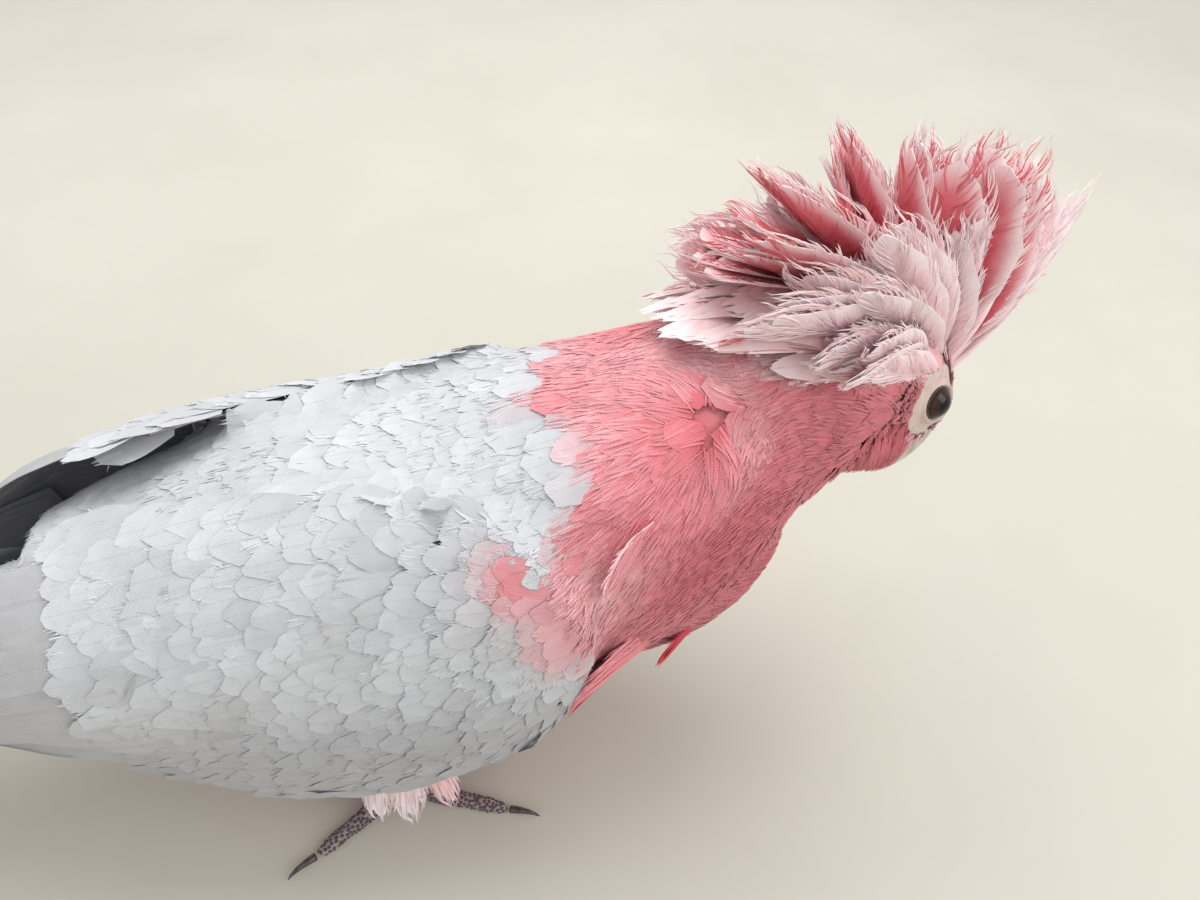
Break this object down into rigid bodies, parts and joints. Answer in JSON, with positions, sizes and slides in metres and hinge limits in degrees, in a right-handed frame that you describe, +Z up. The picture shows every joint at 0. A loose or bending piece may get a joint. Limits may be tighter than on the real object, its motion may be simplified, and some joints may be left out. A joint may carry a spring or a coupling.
{
  "type": "galah",
  "caption": "Life-size galah in a low crouch, neck stretched and head bowed, crest raised, rose breast and grey wings and tail.",
  "frame": {"origin": "on the floor, under the middle of the bird's bounding box", "axes": "+X the way the bird faces, +Y to its left, +Z up"},
  "size_m": [0.3944, 0.1014, 0.1672],
  "materials": {
    "rose_plumage": "soft matt plumage, rose pink",
    "pale_rose_plumage": "soft matt plumage, pale rose",
    "grey_plumage": "soft matt plumage, pale grey",
    "slate_plumage": "smooth matt flight feathers, dark grey",
    "horn": "dull horn, bone grey",
    "foot_skin": "dry scaly skin, grey",
    "eye": "wet gloss, dark brown to black"
  },
  "bodies": {
    "root": {"bill_lower": "horn", "bill_upper": "horn", "claw_left_hind": "horn", "claw_left_inner": "horn", "claw_left_middle": "horn", "claw_left_outer": "horn", "claw_right_hind": "horn", "claw_right_inner": "horn", "claw_right_middle": "horn", "claw_right_outer": "horn", "crest_1_left": "pale_rose_plumage", "crest_1_middle": "pale_rose_plumage", "crest_1_right": "pale_rose_plumage", "crest_2_left": "pale_rose_plumage", "crest_2_middle": "pale_rose_plumage", "crest_2_right": "pale_rose_plumage", "crest_3_left": "pale_rose_plumage", "crest_3_middle": "pale_rose_plumage", "crest_3_right": "pale_rose_plumage", "crest_4_left": "pale_rose_plumage", "crest_4_middle": "pale_rose_plumage", "crest_4_right": "pale_rose_plumage", "crest_5_left": "pale_rose_plumage", "crest_5_middle": "pale_rose_plumage", "crest_5_right": "pale_rose_plumage", "eye_left": "eye", "eye_right": "eye", "foot_left": "foot_skin", "foot_right": "foot_skin", "head": "rose_plumage", "neck": "rose_plumage", "rump": "grey_plumage", "tail_coverts_under": "grey_plumage", "tail_coverts_upper": "grey_plumage", "tail_left_1": "slate_plumage", "tail_left_2": "slate_plumage", "tail_left_3": "slate_plumage", "tail_left_4": "slate_plumage", "tail_left_5": "slate_plumage", "tail_left_6": "slate_plumage", "tail_right_1": "slate_plumage", "tail_right_2": "slate_plumage", "tail_right_3": "slate_plumage", "tail_right_4": "slate_plumage", "tail_right_5": "slate_plumage", "tail_right_6": "slate_plumage", "thigh_left": "rose_plumage", "thigh_right": "rose_plumage", "trunk": "rose_plumage", "wing_left_coverts": "grey_plumage", "wing_left_primaries": "slate_plumage", "wing_left_secondaries": "grey_plumage", "wing_left_wing_tip": "slate_plumage", "wing_right_coverts": "grey_plumage", "wing_right_primaries": "slate_plumage", "wing_right_secondaries": "grey_plumage", "wing_right_wing_tip": "slate_plumage"}
  },
  "joints": []
}
